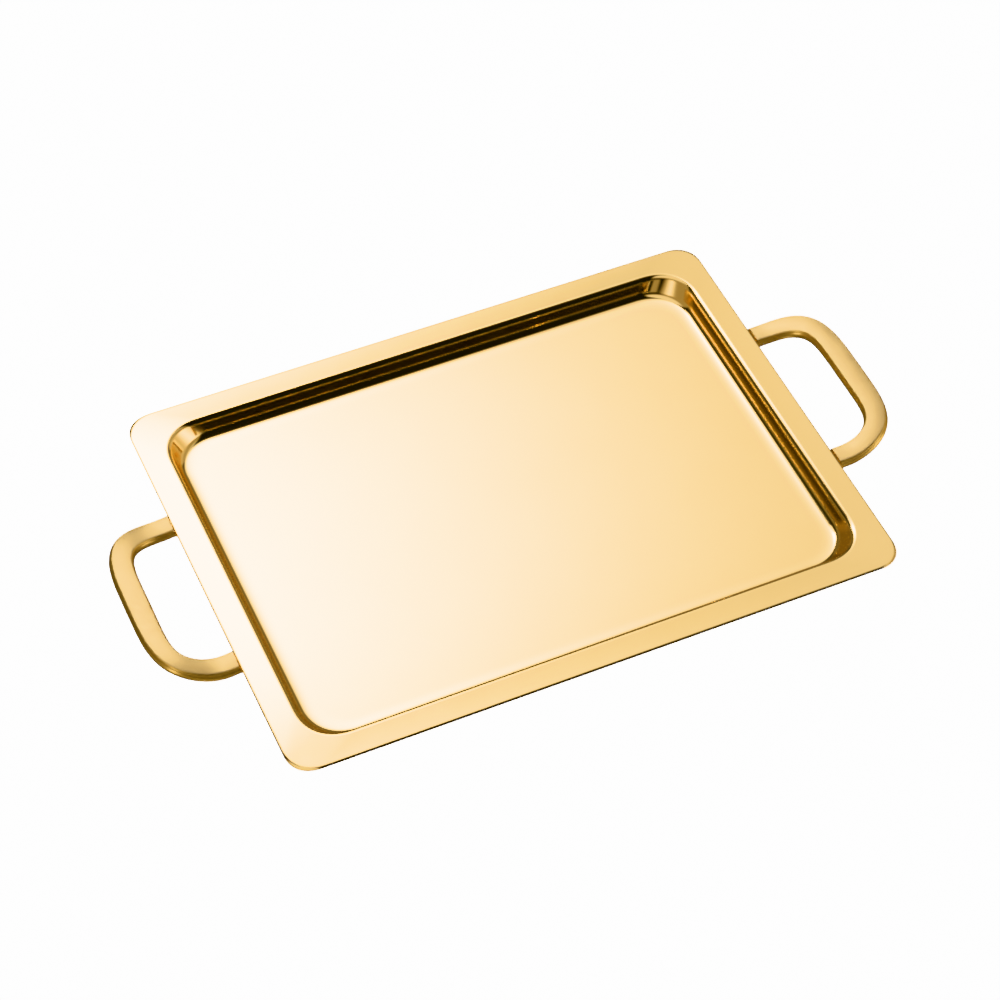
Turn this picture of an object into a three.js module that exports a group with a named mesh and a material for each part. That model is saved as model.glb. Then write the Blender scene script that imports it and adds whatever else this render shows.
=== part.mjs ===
// Rectangular brass serving tray with two cast handles, in millimetres, +Z up.
// The origin is under the middle of the tray, on the surface that it stands on. The long side runs along X.
//
// The tray is one pressed sheet: a flat floor that turns up gently towards its edges, a sloping wall, and a
// flange that falls very slightly towards the rim. Each handle is one casting with a slightly crowned top. Its
// two feet lie under the flange, and a fillet of braze runs round each foot.

import * as THREE from 'three';

// ---- driving dimensions -------------------------------------------------------------------------------------

const trayLength = 420;
const trayDepth = 311;
const sheet = 1.5;              // thickness of the pressed sheet
const wellDrop = 12.6;          // flange top down to the floor of the well
const flangeWidth = 16.8;       // rim to the start of the roll into the well
const flangeFall = 1.26 * Math.PI / 180;
const wallWidth = 10.4;         // start of the roll to the start of the floor fillet, seen from above
const rollRadius = 4.4;         // convex roll from the flange into the wall, on the upper side
const floorFillet = 5.6;        // concave fillet from the wall into the floor, on the upper side
const easeLength = 10;          // the floor's gentle upturn before the fillet,
const easeAngle = 5 * Math.PI / 180; // and the slope that it reaches
const edgeTop = 1.1;            // rounding of the flange's cut edge, on its upper side
const edgeBase = sheet - edgeTop; // and on its underside
const rimCorner = 17;           // corner radii seen from above: at the rim,
const mouthCorner = 27;         // at the start of the roll,
const floorCorner = 24;         // and at the floor
const cornerEase = 0.6;         // how softly each corner starts and ends: 0 is a plain arc

const handleReach = 49.8;       // rim to the outer edge of the bar
const handleHalfWidth = 66.2;   // middle of the handle to the outer edge of an arm
const gripReach = 35.1;         // rim to the inner edge of the bar
const gripHalfWidth = 52.4;     // middle of the handle to the inner edge of an arm
const handleThickness = 8;
const outerBulge = 1.7;         // how far the handle's outer and inner sides swell out past its top edges
const innerBulge = 1.1;
const handleEdge = 1;           // rounding of the handle's top edges
const rootRise = { right: -0.3, left: 1.6 }; // the handle's top beside the rim, above the flange top
const rootReach = 24;           // how far out that height reaches
const barHeight = 8.3;          // top edges of the bar, above the flange top
const crown = 0.35;             // middle of the handle's top above its edges
const crownSlope = 0.11;        // slope of the crown at the edges
const riseStart = 6;            // the climb starts and ends at these distances from the rim
const riseEnd = 52;

const footLength = 13.5;        // how far a foot reaches in under the flange
const footCorner = 3;
const footThickness = 5;
const bevelLength = 0.4;         // slope from the arm's top down to the foot, just outside the rim
const clearance = 0.3;          // gap between pieces that are joined
const brazeLeg = 1.8;           // width and height of a braze fillet

// ---- derived dimensions -------------------------------------------------------------------------------------

const flangeTop = wellDrop + sheet;
const flangeDroop = flangeWidth * Math.tan(flangeFall); // rim below the flange top
const footTop = -sheet - flangeDroop - clearance;
const footMiddle = (handleHalfWidth + gripHalfWidth) / 2;
const footHalfWidth = (handleHalfWidth - gripHalfWidth) / 2;

// ---- shared geometry helpers --------------------------------------------------------------------------------

// A closed body through rings of points, which all have the same number of points. Seen from the first ring
// towards the last, the points run clockwise. The first and last rings are closed with flat fans.
function loft(rings) {
  const count = rings[0].length;
  const positions = rings.flat().flatMap((point) => point.toArray());
  const indices = [];
  for (let ring = 0; ring + 1 < rings.length; ring += 1) {
    for (let i = 0; i < count; i += 1) {
      const a = ring * count + i;
      const b = ring * count + (i + 1) % count;
      indices.push(a, a + count, b, b, a + count, b + count);
    }
  }
  const last = (rings.length - 1) * count;
  for (let i = 1; i + 1 < count; i += 1) {
    indices.push(0, i, i + 1);
    indices.push(last, last + i + 1, last + i);
  }
  const geometry = new THREE.BufferGeometry();
  geometry.setAttribute('position', new THREE.Float32BufferAttribute(positions, 3));
  geometry.setIndex(indices);
  geometry.computeVertexNormals();
  return geometry;
}

// Points on an arc, both ends included. Angles are in radians.
function arcPoints(centreX, centreY, radius, from, to, segments) {
  const points = [];
  for (let i = 0; i <= segments; i += 1) {
    const angle = from + (to - from) * i / segments;
    points.push(new THREE.Vector2(centreX + radius * Math.cos(angle), centreY + radius * Math.sin(angle)));
  }
  return points;
}

// ---- pressed tray -------------------------------------------------------------------------------------------

// The floor's gentle upturn, offset along its normal by a depth. It bends more and more towards the fillet.
function easePoints(depth, segments) {
  const points = [];
  for (let i = 0; i <= segments; i += 1) {
    const share = i / segments;
    const angle = easeAngle * share ** 3;
    points.push(new THREE.Vector2(
      flangeWidth + wallWidth + easeLength * (1 - share) - depth * Math.sin(angle),
      easeLength * easeAngle * share ** 4 / 4 - wellDrop - depth * Math.cos(angle),
    ));
  }
  return points;
}

// Slope of the wall away from vertical, which makes it tangent to both the roll and the fillet.
function wallSlope(filletCentre) {
  const across = filletCentre.x - flangeWidth;
  const rise = -rollRadius - filletCentre.y;
  return Math.acos((rollRadius + floorFillet) / Math.hypot(across, rise)) - Math.atan2(rise, across);
}

// Half of the sheet's section: x is the distance in from the rim, y the height above the flange top. It runs
// from the floor's upper side, over the flange and round its edge, to the floor's underside.
function sheetSection() {
  const arcSegments = 8;
  const easeSegments = 4;
  const edgeSegments = 4;
  const turn = Math.PI / 2;
  const fillet = easePoints(-floorFillet, 1).at(-1);
  const slope = wallSlope(fillet);
  const upturned = -turn - easeAngle;
  const level = turn + flangeFall;
  const upper = [
    ...easePoints(0, easeSegments),
    ...arcPoints(fillet.x, fillet.y, floorFillet, upturned, -2 * turn + slope, arcSegments).slice(1),
    ...arcPoints(flangeWidth, -rollRadius, rollRadius, slope, level, arcSegments),
  ];
  const edge = [
    ...arcPoints(edgeTop, -edgeTop - flangeDroop, edgeTop, level, 2 * turn, edgeSegments),
    ...arcPoints(edgeBase, edgeBase - sheet - flangeDroop, edgeBase, 2 * turn, 2 * turn + level, edgeSegments)
      .slice(1),
  ];
  const lower = [
    ...arcPoints(flangeWidth, -rollRadius, rollRadius - sheet, level, slope, arcSegments),
    ...arcPoints(fillet.x, fillet.y, floorFillet + sheet, -2 * turn + slope, upturned, arcSegments),
    ...easePoints(sheet, easeSegments).toReversed().slice(1),
  ];
  return [...upper, ...edge, ...lower];
}

// Corner radius of the tray's outline at a distance in from the rim.
function cornerRadius(inset) {
  if (inset < flangeWidth) {
    return THREE.MathUtils.mapLinear(inset, 0, flangeWidth, rimCorner, mouthCorner);
  }
  const share = Math.min((inset - flangeWidth) / wallWidth, 1);
  return THREE.MathUtils.lerp(mouthCorner, floorCorner, share);
}

// A quarter turn whose bend eases in and out, from facing +X to facing +Y, measured from the sharp corner that
// it rounds off. It cuts the corner off as far as an arc of radius 1 does.
function softCorner(segments) {
  const fine = 60;
  const points = [];
  const at = new THREE.Vector2();
  let previous = null;
  for (let i = 0; i <= segments * fine; i += 1) {
    const share = i / (segments * fine);
    const eased = THREE.MathUtils.smoothstep(share, 0, 1);
    const angle = Math.PI / 2 * THREE.MathUtils.lerp(share, eased, cornerEase);
    const tangent = new THREE.Vector2(-Math.sin(angle), Math.cos(angle));
    if (previous) {
      at.addScaledVector(tangent, 0.5).addScaledVector(previous, 0.5);
    }
    previous = tangent;
    points.push(at.clone());
  }
  const corner = new THREE.Vector2(0, at.y);
  const scale = (Math.SQRT2 - 1) / points[points.length >> 1].distanceTo(corner);
  return points.filter((_, i) => i % fine === 0).map((point) => point.sub(corner).multiplyScalar(scale));
}

const cornerPoints = softCorner(14);

// The tray's outline at a distance in from the rim and a height: a rectangle with round corners.
function trayRing(inset, height) {
  const radius = cornerRadius(inset);
  const x = trayLength / 2 - inset;
  const y = trayDepth / 2 - inset;
  const origin = new THREE.Vector2();
  const outline = [[x, y], [-x, y], [-x, -y], [x, -y]].flatMap(([cornerX, cornerY], quarter) => (
    cornerPoints.map((point) => point.clone()
      .multiplyScalar(radius)
      .rotateAround(origin, quarter * Math.PI / 2)
      .add(new THREE.Vector2(cornerX, cornerY)))
  ));
  return outline.map((point) => new THREE.Vector3(point.x, point.y, height));
}

function trayGeometry() {
  return loft(sheetSection().map((point) => trayRing(point.x, flangeTop + point.y)));
}

// ---- handle -------------------------------------------------------------------------------------------------
// A handle is drawn for the +X end. x is the distance out from the rim, y is along the rim from the handle's
// middle, and z is the height above the flange top.

// The two outlines of the handle seen from above. Each is straight along the arms up to x = straight, and a
// superellipse from there round the bar. along and across are its exponents in x and in y.
const outerOutline = { reach: handleReach, halfWidth: handleHalfWidth, straight: 4, along: 2.5, across: 3.8 };
const innerOutline = { reach: gripReach, halfWidth: gripHalfWidth, straight: 5, along: 2.4, across: 6 };

// Where an outline faces in a direction, from 0 (towards +Y) through PI / 2 (towards +X) to PI (towards -Y).
function outlinePoint(outline, facing) {
  const { reach, halfWidth, straight, along, across } = outline;
  const length = reach - straight;
  const quarter = Math.min(facing, Math.PI - facing);
  let low = 0;
  let high = Math.PI / 2;
  for (let step = 0; step < 40; step += 1) {
    const middle = (low + high) / 2;
    const normalY = across / halfWidth * Math.cos(middle) ** (2 - 2 / across);
    const normalX = along / length * Math.sin(middle) ** (2 - 2 / along);
    if (Math.atan2(normalX, normalY) < quarter) {
      low = middle;
    } else {
      high = middle;
    }
  }
  const x = straight + length * Math.sin(low) ** (2 / along);
  const y = halfWidth * Math.max(Math.cos(low), 0) ** (2 / across);
  return new THREE.Vector2(x, facing > Math.PI / 2 ? -y : y);
}

// Height of the handle's top edges at a distance out from the rim. root is their height beside the rim.
function handleTop(x, root) {
  const near = Math.max(1 - x / rootReach, 0);
  return barHeight * THREE.MathUtils.smoothstep(x, riseStart, riseEnd) + root * near * near;
}

// One side of the handle's section, from its top edge to its bottom edge. x is the distance out past the top
// edge and y the depth, for a handle of full thickness.
function handleSide(bulge) {
  const bottomEdge = 1.8;
  const side = new THREE.Path();
  side.moveTo(-handleEdge, 0);
  side.quadraticCurveTo(0, -crownSlope * handleEdge, 0.2 * bulge, -handleEdge);
  side.bezierCurveTo(
    1.3 * bulge, -0.38 * handleThickness,
    1.3 * bulge, -0.68 * handleThickness,
    0.2 * bulge, bottomEdge / 2 - handleThickness,
  );
  side.quadraticCurveTo(0, -handleThickness, -bottomEdge, -handleThickness);
  return side.getPoints(4);
}

// One ring of the handle. inner and outer are the two top edges, thickness is the height there, and swell goes
// from 0 for a plain rectangle to 1 for the rounded sides.
function handleRing(inner, outer, thickness, swell) {
  const across = new THREE.Vector2(outer.x - inner.x, outer.y - inner.y).normalize();
  const place = (edge, sign, point) => new THREE.Vector3(
    edge.x + sign * swell * point.x * across.x,
    edge.y + sign * swell * point.x * across.y,
    edge.z + point.y * thickness / handleThickness,
  );
  const ring = [
    ...handleSide(outerBulge).map((point) => place(outer, 1, point)),
    ...handleSide(innerBulge).toReversed().map((point) => place(inner, -1, point)),
  ];
  const [last, first] = [ring[0], ring.at(-1)];
  for (const share of [0.25, 0.5, 0.75]) {
    const point = first.clone().lerp(last, share);
    point.z += swell * crown * 4 * share * (1 - share);
    ring.push(point);
  }
  return ring;
}

// Rings along the straight part of one arm, from the end of the foot to just outside the rim.
function footRings(sign, root) {
  const rings = [];
  const outerY = sign * handleHalfWidth;
  const innerY = sign * gripHalfWidth;
  const add = (x, inset, top, thickness, swell) => rings.push(handleRing(
    new THREE.Vector3(x, innerY + sign * inset, top),
    new THREE.Vector3(x, outerY - sign * inset, top),
    thickness,
    swell,
  ));
  for (const point of arcPoints(footCorner, footCorner, footCorner, 1.5 * Math.PI, Math.PI, 4)) {
    add(point.y - footLength, point.x, footTop, footThickness, 0);
  }
  add(-footLength / 2, 0, footTop, footThickness, 0);
  add(clearance, 0, footTop, handleThickness - root + footTop, 0);
  add(clearance + bevelLength, 0, root, handleThickness, 1);
  return sign > 0 ? rings : rings.toReversed();
}

function handleGeometry(root) {
  const stations = 40;
  const rings = footRings(1, root);
  for (let i = 0; i <= stations; i += 1) {
    const facing = Math.PI * i / stations;
    const inner = outlinePoint(innerOutline, facing);
    const outer = outlinePoint(outerOutline, facing);
    rings.push(handleRing(
      new THREE.Vector3(inner.x, inner.y, handleTop(inner.x, root)),
      new THREE.Vector3(outer.x, outer.y, handleTop(outer.x, root)),
      handleThickness,
      1,
    ));
  }
  rings.push(...footRings(-1, root));
  return loft(rings);
}

// ---- braze fillet -------------------------------------------------------------------------------------------

// A concave fillet along both sides and round the inner end of one foot, drawn with the foot's middle at y = 0.
function brazeGeometry() {
  const half = footHalfWidth + clearance;
  const corner = footCorner + clearance;
  const end = -footLength - clearance;
  const open = -0.6;            // the fillet stops just short of the rim
  const path = [
    new THREE.Vector3(open, half, 0),
    ...arcPoints(end + corner, half - corner, corner, Math.PI / 2, Math.PI, 6),
    ...arcPoints(end + corner, corner - half, corner, Math.PI, 1.5 * Math.PI, 6),
    new THREE.Vector3(open, -half, 0),
  ];
  const outward = (point) => {
    if (point.x > end + corner) {
      return new THREE.Vector2(0, Math.sign(point.y));
    }
    const centreY = Math.sign(point.y) * (half - corner);
    return new THREE.Vector2(point.x - end - corner, point.y - centreY).normalize();
  };
  const section = [[0, 0], [0, -brazeLeg], [0.3 * brazeLeg, -0.3 * brazeLeg], [brazeLeg, 0]];
  return loft(path.map((point) => {
    const out = outward(point);
    return section.map(([distance, height]) => new THREE.Vector3(
      point.x + out.x * distance,
      point.y + out.y * distance,
      footTop + height,
    ));
  }));
}

// ---- materials ----------------------------------------------------------------------------------------------

const polishedBrass = { color: 0xf0c877, metalness: 1, roughness: 0.12 };
const satinBrass = { color: 0xe2b76a, metalness: 1, roughness: 0.35 };
const brazeAlloy = { color: 0xc9a15c, metalness: 1, roughness: 0.45 };

function piece(name, geometry, finish) {
  const mesh = new THREE.Mesh(geometry, new THREE.MeshStandardMaterial(finish));
  mesh.name = name;
  return mesh;
}

// ---- assembly -----------------------------------------------------------------------------------------------

const tray = new THREE.Group();
tray.add(piece('tray_pan', trayGeometry(), polishedBrass));

for (const [side, angle] of [['right', 0], ['left', Math.PI]]) {
  const end = new THREE.Group();
  end.rotation.z = angle;

  const handleSet = new THREE.Group();
  handleSet.position.set(trayLength / 2, 0, flangeTop);
  handleSet.add(piece(`handle_${side}`, handleGeometry(rootRise[side]), satinBrass));

  for (const sign of [1, -1]) {
    const place = sign * Math.cos(angle) > 0 ? 'back' : 'front';
    const braze = piece(`braze_fillet_${side}_${place}`, brazeGeometry(), brazeAlloy);
    braze.position.y = sign * footMiddle;
    handleSet.add(braze);
  }
  end.add(handleSet);
  tray.add(end);
}

export default tray;
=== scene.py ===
"""Brass tray: fine meshes, materials, light and camera round the CAD frame. Metres, +Z up."""

import math

import bpy
import numpy as np
from mathutils import Matrix, Vector


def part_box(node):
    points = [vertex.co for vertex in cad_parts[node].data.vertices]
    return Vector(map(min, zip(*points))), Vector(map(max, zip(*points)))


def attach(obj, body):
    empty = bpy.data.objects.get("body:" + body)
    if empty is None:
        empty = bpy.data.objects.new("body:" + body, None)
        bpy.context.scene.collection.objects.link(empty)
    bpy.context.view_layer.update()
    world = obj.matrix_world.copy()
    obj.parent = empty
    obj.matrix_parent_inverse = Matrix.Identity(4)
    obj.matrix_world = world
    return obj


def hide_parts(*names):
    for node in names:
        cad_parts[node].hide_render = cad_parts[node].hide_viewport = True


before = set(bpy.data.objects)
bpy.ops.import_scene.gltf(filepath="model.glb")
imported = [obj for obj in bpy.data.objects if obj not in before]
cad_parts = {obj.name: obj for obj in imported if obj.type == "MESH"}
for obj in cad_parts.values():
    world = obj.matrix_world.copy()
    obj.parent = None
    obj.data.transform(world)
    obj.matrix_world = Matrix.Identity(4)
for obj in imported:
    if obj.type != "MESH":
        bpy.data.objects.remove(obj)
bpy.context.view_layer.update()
scene = bpy.context.scene

# ---- places taken from the frame ----------------------------------------------------------------

HALF_LENGTH, HALF_DEPTH, FLANGE_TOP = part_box("tray_pan")[1]

# ---- shape of the pressed pan -------------------------------------------------------------------

MM = 0.001
SHEET = 1.5 * MM
FLANGE = 16.8 * MM              # rim to the start of the roll
WALL = 10.4 * MM                # start of the roll to the foot of the fillet, seen from above
ROLL_RADIUS = 4.4 * MM
FLOOR_FILLET = 5.6 * MM
EASE_LENGTH = 10 * MM           # the floor's gentle upturn before the fillet
EASE_ANGLE = 5                  # its slope at the end, in degrees
FLANGE_DROOP = 1.26             # the flange's fall towards its rim, in degrees
EDGE_WIDTH = 1.8 * MM           # rounding of the flange's cut edge, seen from above
EDGE_HEIGHT = 1.1 * MM          # and from the side
RIM_CORNER = 17 * MM
MOUTH_CORNER = 27 * MM
FLOOR_CORNER = 24 * MM
CORNER_EASE = 0.6               # how softly the outline's corners start and end
WELL_DROP = FLANGE_TOP - SHEET
EASE_STEPS, ROUND_STEPS, EDGE_STEPS = 14, 20, 12
BASE_EDGE_STEPS, BASE_ROLL_STEPS, BASE_FILLET_STEPS = 6, 12, 16
CORNER_STEPS, CORNER_FINENESS = 48, 40
PROBE = 1e-6                    # step along the section for measuring its facing

# ---- shape of the handles -----------------------------------------------------------------------

HANDLE_THICKNESS = 8 * MM
OUTER_BULGE = 1.7 * MM
INNER_BULGE = 1.1 * MM
BULGE_ENDS, BULGE_PULL = 0.2, 1.3           # shares of the bulge at the side's ends and middle
BULGE_HIGH, BULGE_LOW = 0.38, 0.68          # where it's pulled out, as shares of the thickness
TOP_EDGE = 1.6 * MM
BOTTOM_EDGE = 1.8 * MM
ROOT_RISE = {"right": -0.3 * MM, "left": 1.6 * MM}  # the top beside the rim, above the flange
ROOT_FLARE = 24 * MM                        # how far out the root's own height reaches
BAR_HEIGHT = 8.3 * MM                       # the bar's top edges above the flange
RISE_START = 6 * MM
RISE_END = 52 * MM
CROWN = 0.35 * MM                           # the middle of the handle's top above its edges
CROWN_SLOPE = 0.11                          # slope of the crown at the edges
FOOT_LENGTH = 13.5 * MM
FOOT_CORNER = 3 * MM
FOOT_THICKNESS = 5 * MM
BEVEL = 0.4 * MM
CLEARANCE = 0.3 * MM
OUTER = {"reach": 49.8 * MM, "half": 66.2 * MM, "straight": 4 * MM, "along": 2.5, "across": 3.8}
INNER = {"reach": 35.1 * MM, "half": 52.4 * MM, "straight": 5 * MM, "along": 2.4, "across": 6}
OUTLINE_STEPS, STATIONS, FOOT_CORNER_STEPS = 4001, 60, 10
EDGE_CURVE_STEPS, SIDE_STEPS, CROWN_STEPS = 6, 12, 6
SATIN_EDGE_STEPS = 2                        # steps of a rounded top edge with the top's finish and painted shade
FOOT_TOP = -SHEET - CLEARANCE - FLANGE * math.tan(math.radians(FLANGE_DROOP))


# ---- mesh helpers -------------------------------------------------------------------------------


def arc(centre, radius, start, end, segments):
    """Rows of x, y, tangent x, tangent y along an arc, both ends included. Angles in degrees."""
    angles = np.radians(np.linspace(start, end, segments + 1))
    turn = math.copysign(1, end - start)
    cos, sin = np.cos(angles), np.sin(angles)
    x, y = centre[0] + radius * cos, centre[1] + radius * sin
    return np.stack([x, y, -turn * sin, turn * cos], axis=1)


def quads(rows, columns):
    """Faces of a grid of rows x columns points, whose columns close on themselves."""
    faces = []
    for row in range(rows - 1):
        for column in range(columns):
            after = (column + 1) % columns
            faces.append((
                row * columns + column,
                (row + 1) * columns + column,
                (row + 1) * columns + after,
                row * columns + after,
            ))
    return faces


def make_mesh(name, points, faces, corner_normals):
    """An object with the given corner normals, one for each corner of each face."""
    mesh = bpy.data.meshes.new(name)
    mesh.from_pydata([tuple(p) for p in points], [], faces)
    mesh.polygons.foreach_set("use_smooth", [True] * len(mesh.polygons))
    mesh.normals_split_custom_set([tuple(n) for n in corner_normals])
    mesh.update()
    piece = bpy.data.objects.new(name, mesh)
    scene.collection.objects.link(piece)
    return piece


def unit(vectors):
    """Vectors scaled to length 1 along the last axis."""
    return vectors / np.maximum(np.linalg.norm(vectors, axis=-1, keepdims=True), 1e-12)


# ---- the pan ------------------------------------------------------------------------------------


def ease_rows(offset, width):
    """The ever steeper upturn from the flat floor to the fillet, offset along its normal."""
    share = np.linspace(0, 1, EASE_STEPS + 1)
    angle = math.radians(EASE_ANGLE) * share ** 3
    rise = EASE_LENGTH * math.radians(EASE_ANGLE) * share ** 4 / 4
    x = FLANGE + width + EASE_LENGTH * (1 - share) - offset * np.sin(angle)
    y = rise - WELL_DROP - offset * np.cos(angle)
    return np.stack([x, y, -np.cos(angle), np.sin(angle)], axis=1)


def wall_slope(fillet):
    """Degrees away from vertical of the wall that is tangent to both the roll and the fillet."""
    across, rise = fillet[0] - FLANGE, -ROLL_RADIUS - fillet[1]
    reach = math.hypot(across, rise)
    return math.degrees(math.acos((ROLL_RADIUS + FLOOR_FILLET) / reach) - math.atan2(rise, across))


def pan_section(width):
    """The sheet's half section for a wall of this width, from the floor over the rim and back.

    Each row is the distance in from the rim, the height above the flange top and the tangent.
    """
    fillet = ease_rows(-FLOOR_FILLET, width)[-1, :2]
    slope = wall_slope(fillet)
    droop = FLANGE * math.tan(math.radians(FLANGE_DROOP))
    roll = (FLANGE, -ROLL_RADIUS)
    edge_base = SHEET - EDGE_HEIGHT
    upturned, level = -90 - EASE_ANGLE, 90 + FLANGE_DROOP
    stretch = np.array([EDGE_WIDTH, EDGE_HEIGHT, EDGE_WIDTH, EDGE_HEIGHT])
    edge = arc((0, 0), 1, level, 180, EDGE_STEPS) * stretch
    edge[:, 2:] = unit(edge[:, 2:])
    edge[:, :2] += np.array([EDGE_WIDTH, -EDGE_HEIGHT - droop])
    base_centre = (edge_base, edge_base - SHEET - droop)
    return np.concatenate([
        ease_rows(0, width),
        arc(fillet, FLOOR_FILLET, upturned, -180 + slope, ROUND_STEPS)[1:],
        arc(roll, ROLL_RADIUS, slope, level, ROUND_STEPS),
        edge,
        arc(base_centre, edge_base, 180, 180 + level, BASE_EDGE_STEPS)[1:],
        arc(roll, ROLL_RADIUS - SHEET, level, slope, BASE_ROLL_STEPS),
        arc(fillet, FLOOR_FILLET + SHEET, -180 + slope, upturned, BASE_FILLET_STEPS),
        ease_rows(SHEET, width)[::-1][1:] * np.array([1, 1, -1, -1]),
    ])


def corner_radius(inset):
    """Corner radius of the pan's outline at a distance in from the rim."""
    return np.interp(
        inset,
        [0, FLANGE, FLANGE + WALL, FLANGE + WALL + EASE_LENGTH],
        [RIM_CORNER, MOUTH_CORNER, FLOOR_CORNER, FLOOR_CORNER],
    )


def soft_corner():
    """A quarter turn whose bend eases in and out: points from the sharp corner, and tangents.

    Its middle is as far from the sharp corner as the middle of a round corner of radius 1.
    """
    share = np.linspace(0, 1, CORNER_STEPS * CORNER_FINENESS + 1)
    eased = share * share * (3 - 2 * share)
    angle = math.pi / 2 * (share * (1 - CORNER_EASE) + eased * CORNER_EASE)
    tangent = np.stack([-np.sin(angle), np.cos(angle)], axis=1)
    middles = (tangent[1:] + tangent[:-1]) / 2
    points = np.concatenate([[[0, 0]], np.cumsum(middles, axis=0)])
    corner = np.array([0, points[-1, 1]])
    nearest = np.linalg.norm(points[len(points) // 2] - corner)
    points = (points - corner) * (math.sqrt(2) - 1) / nearest
    return points[::CORNER_FINENESS], tangent[::CORNER_FINENESS]


CORNER_POINTS, CORNER_TANGENTS = soft_corner()


def pan_ring(inset, height):
    """The pan's outline where each of its points has its own inset and height."""
    radius = corner_radius(inset)[:, None]
    corners, turned, facing = [], [], []
    for x, y, cos, sin in ((1, 1, 1, 0), (-1, 1, 0, 1), (-1, -1, -1, 0), (1, -1, 0, -1)):
        spin = np.array([[cos, sin], [-sin, cos]])
        corners.append(np.tile([x, y], (len(CORNER_POINTS), 1)))
        turned.append(CORNER_POINTS @ spin)
        facing.append(CORNER_TANGENTS @ spin)
    size = np.array([HALF_LENGTH, HALF_DEPTH]) - inset[:, None]
    flat = np.concatenate(corners) * size + radius * np.concatenate(turned)
    return np.column_stack([flat, FLANGE_TOP + height]), np.concatenate(facing)


def make_pan():
    """The pressed pan, one closed mesh with exact normals. Its corner walls lean further out."""
    count = 4 * len(CORNER_POINTS)
    level = np.zeros(count)
    mouth, facing = pan_ring(np.full(count, FLANGE), level)
    foot, _ = pan_ring(np.full(count, FLANGE + WALL), level)
    gap = mouth - foot
    widths = (gap[:, 0] * facing[:, 1] - gap[:, 1] * facing[:, 0]).round(7)
    sections = {width: pan_section(width) for width in set(widths)}
    rows = np.stack([sections[width] for width in widths], axis=1)

    def inset(distance):
        outside = np.minimum(distance, FLANGE)
        wall = np.clip(distance - FLANGE, 0, widths) * WALL / widths
        return outside + wall + np.maximum(distance - FLANGE - widths, 0)

    rings, normals = [], []
    for x, y, tangent_x, tangent_y in rows.transpose(0, 2, 1):
        points, _ = pan_ring(inset(x), y)
        ahead, _ = pan_ring(inset(x + PROBE * tangent_x), y + PROBE * tangent_y)
        along = np.roll(points, -1, axis=0) - np.roll(points, 1, axis=0)
        rings.append(points)
        normals.append(unit(np.cross(ahead - points, along)))
    faces = quads(len(rings), count)
    flat_normals = np.concatenate(normals)
    corners = [flat_normals[i] for face in faces for i in face]
    floor = tuple(range(count))
    base = tuple(range((len(rings) - 1) * count, len(rings) * count))[::-1]
    faces += [floor, base]
    corners += [(0, 0, 1)] * count + [(0, 0, -1)] * count
    return make_mesh("pressed_pan", np.concatenate(rings), faces, corners)


# ---- the handles --------------------------------------------------------------------------------


def outline_table(outline):
    """One handle outline's points from its +Y end to the bar's middle, and the way each faces."""
    theta = np.linspace(0, math.pi / 2, OUTLINE_STEPS)
    length = outline["reach"] - outline["straight"]
    half = outline["half"]
    cos, sin = np.cos(theta), np.sin(theta)
    cos[-1] = 0
    x = outline["straight"] + length * sin ** (2 / outline["along"])
    y = half * cos ** (2 / outline["across"])
    normal_x = outline["along"] / length * sin ** (2 - 2 / outline["along"])
    normal_y = outline["across"] / half * cos ** (2 - 2 / outline["across"])
    facing = np.maximum.accumulate(np.arctan2(normal_x, normal_y))
    return x, y, facing


def outline_points(outline, facings):
    """Points of an outline that face in the given directions, from 0 (+Y) to pi (-Y)."""
    x, y, facing = outline_table(outline)
    quarter = np.minimum(facings, math.pi - facings)
    side = np.where(facings > math.pi / 2, -1, 1)
    return np.stack([np.interp(quarter, facing, x), side * np.interp(quarter, facing, y)], axis=1)


def station_facings():
    """Directions for the handle's rings: even steps of angle and of length together."""
    x, y, facing = outline_table(INNER)
    run = np.concatenate([[0], np.cumsum(np.hypot(np.diff(x), np.diff(y)))])
    by_length = np.interp(np.linspace(0, run[-1], STATIONS), run, facing)
    by_angle = np.linspace(0, math.pi / 2, STATIONS)
    quarter = np.unique(np.round(np.concatenate([by_length, by_angle]), 5))
    return np.concatenate([quarter, (math.pi - quarter[:-1])[::-1]])


def handle_top(x, root_rise):
    """Height of the handle's top edges above the flange top, at a distance out from the rim."""
    t = np.clip((x - RISE_START) / (RISE_END - RISE_START), 0, 1)
    flare = np.clip(1 - x / ROOT_FLARE, 0, 1)
    return BAR_HEIGHT * t * t * (3 - 2 * t) + root_rise * flare * flare


def curve(points, segments):
    """Rows of x, y, tangent x, tangent y along a Bezier curve of 3 or 4 control points."""
    t = np.linspace(0, 1, segments + 1)[:, None]
    p = [np.array(q, float) for q in points]
    if len(p) == 3:
        value = (1 - t) ** 2 * p[0] + 2 * t * (1 - t) * p[1] + t ** 2 * p[2]
        slope = 2 * (1 - t) * (p[1] - p[0]) + 2 * t * (p[2] - p[1])
    else:
        value = (
            (1 - t) ** 3 * p[0]
            + 3 * t * (1 - t) ** 2 * p[1]
            + 3 * t ** 2 * (1 - t) * p[2]
            + t ** 3 * p[3]
        )
        slope = (
            3 * (1 - t) ** 2 * (p[1] - p[0])
            + 6 * t * (1 - t) * (p[2] - p[1])
            + 3 * t ** 2 * (p[3] - p[2])
        )
    return np.concatenate([value, unit(slope)], axis=1)


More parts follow.
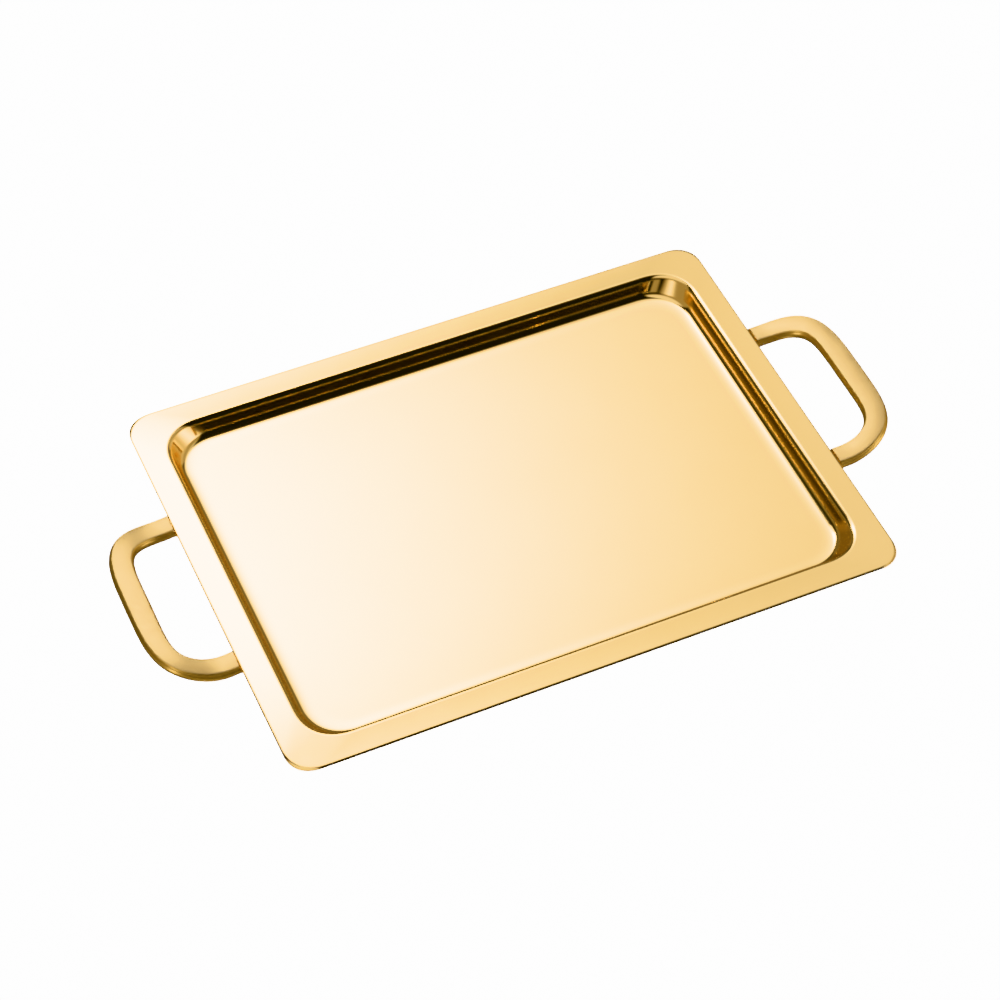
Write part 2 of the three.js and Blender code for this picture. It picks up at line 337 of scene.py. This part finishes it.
def handle_side(bulge):
    """One side of the handle's section from its top edge down: distance out, depth, tangent."""
    full = HANDLE_THICKNESS
    start, pull = BULGE_ENDS * bulge, BULGE_PULL * bulge
    high, low = (start, -TOP_EDGE), (start, BOTTOM_EDGE / 2 - full)
    crest, base = (0, -CROWN_SLOPE * TOP_EDGE), (0, -full)
    side = [high, (pull, -BULGE_HIGH * full), (pull, -BULGE_LOW * full), low]
    return np.concatenate([
        curve([(-TOP_EDGE, 0), crest, high], EDGE_CURVE_STEPS),
        curve(side, SIDE_STEPS)[1:],
        curve([low, base, (-BOTTOM_EDGE, -full)], EDGE_CURVE_STEPS)[1:],
    ])


def handle_ring(inner, outer, thickness, swell):
    """Points and tangents of one ring. inner and outer are its two top edges, as x, y, z."""
    across = unit(np.array([outer[0] - inner[0], outer[1] - inner[1], 0.0]))
    up = np.array([0, 0, 1.0])
    scale = thickness / HANDLE_THICKNESS
    points, tangents = [], []
    sides = (
        (outer, 1, handle_side(swell * OUTER_BULGE)),
        (inner, -1, handle_side(swell * INNER_BULGE)[::-1]),
    )
    for edge, sign, rows in sides:
        for x, y, tangent_x, tangent_y in rows:
            points.append(np.array(edge) + sign * x * across + scale * y * up)
            tangents.append(tangent_x * across + sign * scale * tangent_y * up)
    first, last = points[-1], points[0]
    width = np.linalg.norm(last - first)
    for share in np.linspace(0, 1, CROWN_STEPS + 1)[1:-1]:
        rise = swell * CROWN * 4 * share * (1 - share)
        slope = swell * CROWN * 4 * (1 - 2 * share) / width
        points.append(first + share * (last - first) + rise * up)
        tangents.append(across + slope * up)
    return np.array(points), unit(np.array(tangents))


def foot_patches(sign, root_rise):
    """Rings of one foot, from its end to the rim and up the bevel, in patches with creases."""
    outer_y, inner_y = sign * OUTER["half"], sign * INNER["half"]

    def ring(x, inset, top, thickness, swell):
        inner = (x, inner_y + sign * inset, top)
        outer = (x, outer_y - sign * inset, top)
        return handle_ring(inner, outer, thickness, swell)

    corner = arc((FOOT_CORNER, FOOT_CORNER), FOOT_CORNER, 270, 180, FOOT_CORNER_STEPS)
    foot = [ring(y - FOOT_LENGTH, x, FOOT_TOP, FOOT_THICKNESS, 0) for x, y, _, _ in corner]
    foot.append(ring(-FOOT_LENGTH / 2, 0, FOOT_TOP, FOOT_THICKNESS, 0))
    full = HANDLE_THICKNESS - root_rise + FOOT_TOP
    root = ring(CLEARANCE, 0, FOOT_TOP, full, 0)
    top = ring(CLEARANCE + BEVEL, 0, root_rise, HANDLE_THICKNESS, 1)
    return [foot, [foot[-1], root], [root, top]]


def make_handle(name, turned, root_rise):
    """One cast handle as a closed mesh, and for each face whether it takes the top's finish and
    painted shade.

    turned puts it at the -X end.
    """
    facings = station_facings()
    inner = outline_points(INNER, facings)
    outer = outline_points(OUTER, facings)
    inner = [(x, y, handle_top(x, root_rise)) for x, y in inner]
    outer = [(x, y, handle_top(x, root_rise)) for x, y in outer]
    arms = [handle_ring(i, o, HANDLE_THICKNESS, 1) for i, o in zip(inner, outer)]
    start = foot_patches(1, root_rise)
    end = [patch[::-1] for patch in foot_patches(-1, root_rise)[::-1]]
    loop = [start[-1][-1], *arms, end[0][0]]
    patches = [*start, loop, *end]

    points, faces, corners = [], [], []
    count = len(arms[0][0])
    offset = 0
    for patch in patches:
        rows = np.array([ring[0] for ring in patch])
        tangents = np.array([ring[1] for ring in patch])
        forward = np.gradient(rows, axis=0)
        normals = unit(np.cross(forward, tangents)).reshape(-1, 3)
        new_faces = quads(len(rows), count)
        corners += [normals[i] for face in new_faces for i in face]
        faces += [tuple(i + offset for i in face) for face in new_faces]
        points.append(rows[:-1].reshape(-1, 3))
        offset += (len(rows) - 1) * count
    points.append(patches[-1][-1][0])
    total = sum(len(p) for p in points)
    first = tuple(range(count))[::-1]
    last = tuple(range(total - count, total))
    faces += [first, last]
    corners += [(-1, 0, 0)] * (2 * count)

    points = np.concatenate(points) + np.array([HALF_LENGTH, 0, FLANGE_TOP])
    corners = np.array(corners)
    if turned:
        points[:, :2] *= -1
        corners[:, :2] *= -1
    piece = make_mesh(name, points, faces, corners)
    side_start, side_end = SATIN_EDGE_STEPS, count - CROWN_STEPS - SATIN_EDGE_STEPS
    top = [not side_start <= face[0] % count < side_end for face in faces]
    return piece, top


# ---- materials ----------------------------------------------------------------------------------


COLOUR_A, COLOUR_B, COLOUR_RESULT = 6, 7, 2     # the colour sockets of a Mix node
NOISE_RANGE = (0.3, 0.7)                        # where nearly all of a noise's values lie


class Nodes:
    """Short calls for building the node tree of a material or a world."""

    def __init__(self, owner):
        self.owner = owner
        owner.use_nodes = True
        self.tree = owner.node_tree
        self.tree.nodes.clear()

    def add(self, kind, inputs=None, **settings):
        node = self.tree.nodes.new("ShaderNode" + kind)
        for key, value in settings.items():
            setattr(node, key, value)
        for key, value in (inputs or {}).items():
            if isinstance(value, bpy.types.NodeSocket):
                self.tree.links.new(value, node.inputs[key])
            else:
                node.inputs[key].default_value = value
        return node

    def noise(self, scale, detail):
        position = self.add("TexCoord").outputs["Object"]
        settings = {"Vector": position, "Scale": scale, "Detail": detail}
        return self.add("TexNoise", settings).outputs["Fac"]

    def ramp(self, value, start, end, low=0.0, high=1.0, shape="SMOOTHSTEP"):
        """low where value is at start, high where it is at end."""
        edges = {"Value": value, "From Min": start, "From Max": end, "To Min": low, "To Max": high}
        return self.add("MapRange", edges, interpolation_type=shape).outputs["Result"]

    def spread(self, noise, low, high):
        return self.ramp(noise, *NOISE_RANGE, low, high, "LINEAR")

    def blend(self, factor, first, second):
        colours = {0: factor, COLOUR_A: (*first, 1), COLOUR_B: (*second, 1)}
        return self.add("Mix", colours, data_type="RGBA").outputs[COLOUR_RESULT]

    def output(self, shader, kind="OutputMaterial"):
        self.add(kind, {"Surface": shader})
        return self.owner


def metal(name, cloud, colours, haze, roughness, relief, strength, distance):
    """Bare metal with a cloudy colour, an uneven roughness and a fine relief.

    cloud, haze and relief are the scale and detail of the noises behind these three.
    """
    n = Nodes(bpy.data.materials.new(name))
    height = {"Height": n.noise(*relief), "Strength": strength, "Distance": distance}
    shader = n.add("BsdfPrincipled", {
        "Base Color": n.blend(n.spread(n.noise(*cloud), 0, 1), *colours),
        "Metallic": 1,
        "Roughness": n.spread(n.noise(*haze), *roughness),
        "Normal": n.add("Bump", height).outputs["Normal"],
    })
    return n.output(shader.outputs["BSDF"])


def cast_brass(name, colours, roughness):
    """Cast and finely blasted brass: mottled colour, soft roughness and a fine grain."""
    return metal(
        name, cloud=(60, 4), colours=colours, haze=(240, 3), roughness=roughness,
        relief=(900, 2), strength=0.06, distance=0.2 * MM,
    )


# Mirror-polished sheet: faint cloudy colour, fine polishing haze and a hint of waviness
POLISHED = metal(
    "polished_brass", cloud=(14, 4), colours=((0.905, 0.620, 0.245), (0.925, 0.640, 0.262)),
    haze=(60, 5), roughness=(0.055, 0.085), relief=(9, 1), strength=0.02, distance=1 * MM,
)
# The handles' tops have a dull satin finish and their sides and undersides a smoother buffed one.
# The tops' colour is darker than the sides' as painted shade
SATIN_PAINTED_SHADE = cast_brass("satin_brass", ((0.55, 0.388, 0.168), (0.615, 0.437, 0.191)), (0.50, 0.56))
BUFFED = cast_brass("buffed_brass", ((0.68, 0.44, 0.135), (0.74, 0.49, 0.16)), (0.28, 0.31))
# Dull braze with a darker, rippled surface
BRAZE = metal(
    "braze_alloy", cloud=(180, 5), colours=((0.52, 0.34, 0.13), (0.70, 0.48, 0.20)),
    haze=(400, 3), roughness=(0.38, 0.55), relief=(500, 3), strength=0.3, distance=0.4 * MM,
)

# ---- pieces -------------------------------------------------------------------------------------

pan = make_pan()
pan.data.materials.append(POLISHED)
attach(pan, "root")
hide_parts("tray_pan")

for side in ("right", "left"):
    handle, top = make_handle(f"cast_handle_{side}", side == "left", ROOT_RISE[side])
    # The top's material is the satin one, whose darker colour is painted shade
    handle.data.materials.append(SATIN_PAINTED_SHADE)
    handle.data.materials.append(BUFFED)
    handle.data.polygons.foreach_set("material_index", [0 if on_top else 1 for on_top in top])
    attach(handle, "root")
    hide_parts(f"handle_{side}")

for name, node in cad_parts.items():
    if name.startswith("braze_fillet"):
        node.data.materials.clear()
        node.data.materials.append(BRAZE)

# ---- stage --------------------------------------------------------------------------------------

STAGE_GLOW = 6.0
FLOOR_SIZE, FLOOR_HEIGHT = 30, -0.5 * MM        # just clear of the tray's underside
DOME_RADIUS, DOME_SEGMENTS, DOME_RINGS = 14, 64, 32


def pale_glow():
    """The stage's plain glowing material."""
    n = Nodes(bpy.data.materials.new("pale_floor"))
    shader = n.add("Emission", {"Color": (1, 1, 1, 1), "Strength": STAGE_GLOW})
    return n.output(shader.outputs["Emission"])


def make_floor(material):
    """A wide pale floor. Gloss doesn't see it: the metal reflects the studio instead."""
    bpy.ops.mesh.primitive_plane_add(size=FLOOR_SIZE, location=(0, 0, FLOOR_HEIGHT))
    floor = bpy.context.object
    floor.name = "floor"
    floor.data.materials.append(material)
    floor.visible_glossy = False


def make_backdrop(material):
    """A pale dome far behind everything, so that a low view sees no dark horizon.

    It lights and shades nothing on the tray.
    """
    bpy.ops.mesh.primitive_uv_sphere_add(
        segments=DOME_SEGMENTS, ring_count=DOME_RINGS, radius=DOME_RADIUS)
    dome = bpy.context.object
    dome.name = "backdrop"
    dome.data.materials.append(material)
    dome.visible_glossy = False
    dome.visible_diffuse = False
    dome.visible_shadow = False


# ---- light --------------------------------------------------------------------------------------

# The studio is a glow that depends only on the direction it comes from. A direction is told by its
# parts along axes, each from -1 to 1. Left, right and upper are as the camera faces.
# Two numbers are edges: the light is off at the first and full at the second. A comment tells
# where the next two are the strengths at them. Four edges also fade it, from the third to the
# fourth. A glow has a centre, a half width and how sharply it ends.
WHITE, TINT = (1, 1, 1), (1, 0.86, 0.62)
EVERYWHERE = 0.012                              # faint white light from all round

SOFTBOX_MIDDLE = (0.27, 0.585, 0.765)
SOFTBOX_SIDEWAYS = (0.9068, -0.4217, 0)
SOFTBOX_TILT = -0.286                           # in radians
SOFTBOX_LENGTH = (-0.26, 0.172)
SOFTBOX_WIDTH = (0.0, 0.084, 3.0)
SOFTBOX_STRENGTH = 58.0
TRIM_ABOVE, TRIM_LEFT = (0.07, 0.12), (-0.03, -0.09)
TRIM_LEAVES = 0.15                              # the share of it left where it's trimmed

PANEL_LEFT = (-0.25, 0.20)
PANEL_RIGHT = (0.25, 0.38, 0.93, 0.06)          # edges and strengths
PANEL_HEIGHT = (-0.34, -0.16, 0.20, 0.40)

LOW_HEIGHT, LOW_SIDE = (-0.02, 0.02, 0.30, 0.60), (-0.45, -0.05)
LOW_TOWARD, LOW_EDGES = (0.643, 0.766, 0), (0.1, 0.5)
LOW_STRENGTH = 0.27

STRIP_HEIGHT, STRIP_STRENGTH = (0.0, 0.035), 2.0
STRIP_AWAY, STRIP_EDGES = (-0.3, 1, 0), (0.3, -0.3)
BELOW_HEIGHT, BELOW_STRENGTH = (0.02, -0.03), 0.20

FACING = (0.0, 0.2)                             # keeps a light out of the opposite direction
COLUMN_FOOT, COLUMN_FADE = (0.0, 0.03), 0.6     # it fades from this share of its height
LEFT_COLUMN = {"azimuth": 212, "width": 0.17, "top": 0.60, "strength": 1.6}
LEFT_CORE = {"azimuth": 212, "width": 0.07, "top": 0.50, "strength": 9.0}
LEFT_CORE_HEIGHT = (0.27, 0.08)
RIGHT_COLUMN = {"azimuth": 318, "width": 0.24, "top": 0.35, "strength": 4.0}

# The aisles hold what the back wall and the right wall mirror into the camera, which is dark
AISLE_X, AISLE_Y = (0.05, 0.14, 0.42, 0.52), (0.50, 0.30)
CROSS_AISLE_Y = (0.36, 0.46, 0.72, 0.82)
WEDGE_X, WEDGE_Y = (-0.65, -0.40, 0.30, 0.52), (-0.30, -0.50)
SHADE_ABOVE, SHADE_BELOW, SHADE_TOP = (0.28, 0.36), (0.20, 0.12), (0.78, 0.64)
FAR_Y = (0.60, 0.80)
FAR_X = (0.0, 0.20, 0.50, 1.0)                  # edges and strengths: half shaded towards -X
ROOM_FOOT = (0.0, 0.04)
OVERHEAD = (0.76, 0.92)                         # heights from the walls to the ceiling
ROOM_STRENGTH = (0.44, 0.20)                    # of the tinted light, on the walls and overhead
OVERHEAD_STRENGTH = 0.95                        # of the white light overhead

DIM_FOOT, DIM_X = (0.05, 0.16), (-0.20, -0.40)
DIM_LOWER = (0.48, 0.34, 0.0, 0.80)             # edges and strengths
DIM_UPPER = (0.62, 0.50, 0.0, 0.16)             # edges and strengths
DIM_STRENGTH = 0.33


class Studio(Nodes):
    """The light that the metal reflects, worked out from the direction that it comes from."""

    def __init__(self, world):
        super().__init__(world)
        self.direction = self.add("TexCoord").outputs["Generated"]
        self.x = self.along((1, 0, 0))
        self.y = self.along((0, 1, 0))
        self.height = self.along((0, 0, 1))
        self.middle = Vector(SOFTBOX_MIDDLE).normalized()
        self.sideways = Vector(SOFTBOX_SIDEWAYS)
        self.upward = self.sideways.cross(self.middle)

    def along(self, axis):
        inputs = {0: self.direction, 1: Vector(axis).normalized()}
        return self.add("VectorMath", inputs, operation="DOT_PRODUCT").outputs["Value"]

    def compute(self, operation, *values):
        return self.add("Math", dict(enumerate(values)), operation=operation).outputs["Value"]

    def times(self, first, *others):
        for value in others:
            first = self.compute("MULTIPLY", first, value)
        return first

    def plus(self, first, *others):
        for value in others:
            first = self.compute("ADD", first, value)
        return first

    def inverse(self, value):
        return self.ramp(value, 1, 0)

    def band(self, value, start, full, fading, end):
        return self.times(self.ramp(value, start, full), self.ramp(value, end, fading))

    def glow(self, value, centre, width, sharpness=2.0):
        offset = self.compute("SUBTRACT", value, centre)
        size = self.compute("ABSOLUTE", self.times(offset, 1 / width))
        return self.compute("EXPONENT", self.times(self.compute("POWER", size, sharpness), -1.0))

    def softbox(self):
        """The large light, a tilted oblong, dimmed in its upper left part."""
        cos, sin = math.cos(SOFTBOX_TILT), math.sin(SOFTBOX_TILT)
        long_axis = self.sideways * cos + self.upward * sin
        short_axis = self.upward * cos - self.sideways * sin
        light = self.times(
            self.glow(self.along(long_axis), *SOFTBOX_LENGTH),
            self.glow(self.along(short_axis), *SOFTBOX_WIDTH),
            SOFTBOX_STRENGTH,
            self.ramp(self.along(self.middle), *FACING),
        )
        above = self.ramp(self.along(self.upward), *TRIM_ABOVE)
        left = self.ramp(self.along(self.sideways), *TRIM_LEFT)
        return self.times(light, self.ramp(self.times(above, left), 0.0, 1.0, 1.0, TRIM_LEAVES))

    def panel(self):
        """A wide and much weaker light on the right of the large one, fading out to the left."""
        sideways = self.along(self.sideways)
        across = self.times(self.ramp(sideways, *PANEL_LEFT), self.ramp(sideways, *PANEL_RIGHT))
        return self.times(across, self.band(self.along(self.upward), *PANEL_HEIGHT))

    def column(self, azimuth, width, top, strength):
        """An upright light that stands on the horizon. Its azimuth runs in degrees from +X."""
        angle = math.radians(azimuth)
        toward = self.along((math.cos(angle), math.sin(angle), 0))
        beside = self.along((-math.sin(angle), math.cos(angle), 0))
        upright = self.band(self.height, *COLUMN_FOOT, top * COLUMN_FADE, top)
        light = self.times(self.glow(beside, 0.0, width), self.ramp(toward, *FACING), strength)
        return self.times(light, upright)

    def low(self):
        """A low tinted light at the back and on the right."""
        light = self.band(self.height, *LOW_HEIGHT)
        light = self.times(light, self.ramp(self.along(self.sideways), *LOW_SIDE))
        return self.times(light, self.ramp(self.along(LOW_TOWARD), *LOW_EDGES), LOW_STRENGTH)

    def strip(self):
        """A thin tinted line along the horizon, except at the back."""
        line = self.times(self.glow(self.height, *STRIP_HEIGHT), STRIP_STRENGTH)
        return self.times(line, self.ramp(self.along(STRIP_AWAY), *STRIP_EDGES))

    def below(self):
        """A faint tinted light from below the horizon, for the undersides."""
        return self.ramp(self.height, *BELOW_HEIGHT, 0.0, BELOW_STRENGTH)

    def walls(self, cross_aisle):
        """Where the room is lit: not in the aisles, in most of a wedge in front, or far behind."""
        aisle = self.times(self.band(self.x, *AISLE_X), self.ramp(self.y, *AISLE_Y))
        wedge = self.times(self.ramp(self.y, *WEDGE_Y), self.band(self.x, *WEDGE_X))
        heights = self.plus(
            self.ramp(self.height, *SHADE_ABOVE), self.ramp(self.height, *SHADE_BELOW))
        shade = self.times(wedge, heights, self.ramp(self.height, *SHADE_TOP))
        far = self.times(self.ramp(self.y, *FAR_Y), self.ramp(self.x, *FAR_X))
        lit = self.times(
            self.inverse(aisle), self.inverse(cross_aisle),
            self.ramp(self.height, *ROOM_FOOT))
        return self.times(lit, self.times(self.inverse(shade), self.inverse(far)))

    def dim(self, cross_aisle):
        """A weak tinted light at the -X end of the cross aisle, fading upwards in two steps."""
        lower, upper = self.ramp(self.height, *DIM_LOWER), self.ramp(self.height, *DIM_UPPER)
        light = self.times(self.ramp(self.height, *DIM_FOOT), self.plus(lower, upper))
        side = self.times(cross_aisle, self.ramp(self.x, *DIM_X))
        return self.times(light, side, DIM_STRENGTH)

    def background(self, colour, strength):
        inputs = {"Color": (*colour, 1), "Strength": strength}
        return self.add("Background", inputs).outputs["Background"]


def make_world():
    """The studio: one large soft light across from the camera, weaker ones, and a dim room."""
    scene.world = bpy.data.worlds.new("studio")
    n = Studio(scene.world)
    cross_aisle = n.band(n.y, *CROSS_AISLE_Y)
    walls = n.walls(cross_aisle)
    core = n.times(n.column(**LEFT_CORE), n.glow(n.height, *LEFT_CORE_HEIGHT))
    columns = n.plus(n.plus(n.column(**LEFT_COLUMN), core), n.column(**RIGHT_COLUMN))
    overhead = n.times(walls, n.ramp(n.height, *OVERHEAD, 0.0, OVERHEAD_STRENGTH))
    room = n.times(walls, n.ramp(n.height, *OVERHEAD, *ROOM_STRENGTH))
    white = n.plus(n.plus(n.softbox(), n.panel()), columns, n.plus(overhead, EVERYWHERE))
    tinted = n.plus(n.low(), n.strip(), n.below(), n.plus(n.dim(cross_aisle), room))
    both = {0: n.background(WHITE, white), 1: n.background(TINT, tinted)}
    n.output(n.add("AddShader", both).outputs["Shader"], "OutputWorld")


# ---- camera -------------------------------------------------------------------------------------

CAMERA_AZIMUTH, CAMERA_ELEVATION, CAMERA_ROLL = -24.94, 50.03, 1.09     # in degrees
CAMERA_DISTANCE = 1.851
AIM_RIGHT, AIM_UP = -0.0047, -0.0073
SENSOR, LENS = 36, 102.5
CLIP_START, CLIP_END = 0.01, 100
FILTER_WIDTH = 2.3                              # in pixels, as soft as the photograph


def make_camera():
    """The camera at the photograph's angle."""
    azimuth, elevation = math.radians(CAMERA_AZIMUTH), math.radians(CAMERA_ELEVATION)
    roll = math.radians(CAMERA_ROLL)
    back = Vector((
        math.sin(azimuth) * math.cos(elevation),
        -math.cos(azimuth) * math.cos(elevation),
        math.sin(elevation),
    ))
    level = Vector((math.cos(azimuth), math.sin(azimuth), 0))
    upright = back.cross(level)
    right = level * math.cos(roll) + upright * math.sin(roll)
    up = upright * math.cos(roll) - level * math.sin(roll)
    aim = Vector((0, 0, FLANGE_TOP)) + right * AIM_RIGHT + up * AIM_UP
    centre = aim + back * CAMERA_DISTANCE
    data = bpy.data.cameras.new("camera")
    data.sensor_width = SENSOR
    data.lens = LENS
    data.clip_start, data.clip_end = CLIP_START, CLIP_END
    camera = bpy.data.objects.new("camera", data)
    scene.collection.objects.link(camera)
    turned = Matrix((right, up, back)).transposed().to_4x4()
    camera.matrix_world = Matrix.Translation(centre) @ turned
    scene.camera = camera


pale = pale_glow()
make_floor(pale)
make_backdrop(pale)
make_world()
make_camera()
scene.view_settings.view_transform = "Khronos PBR Neutral"
scene.cycles.filter_width = FILTER_WIDTH
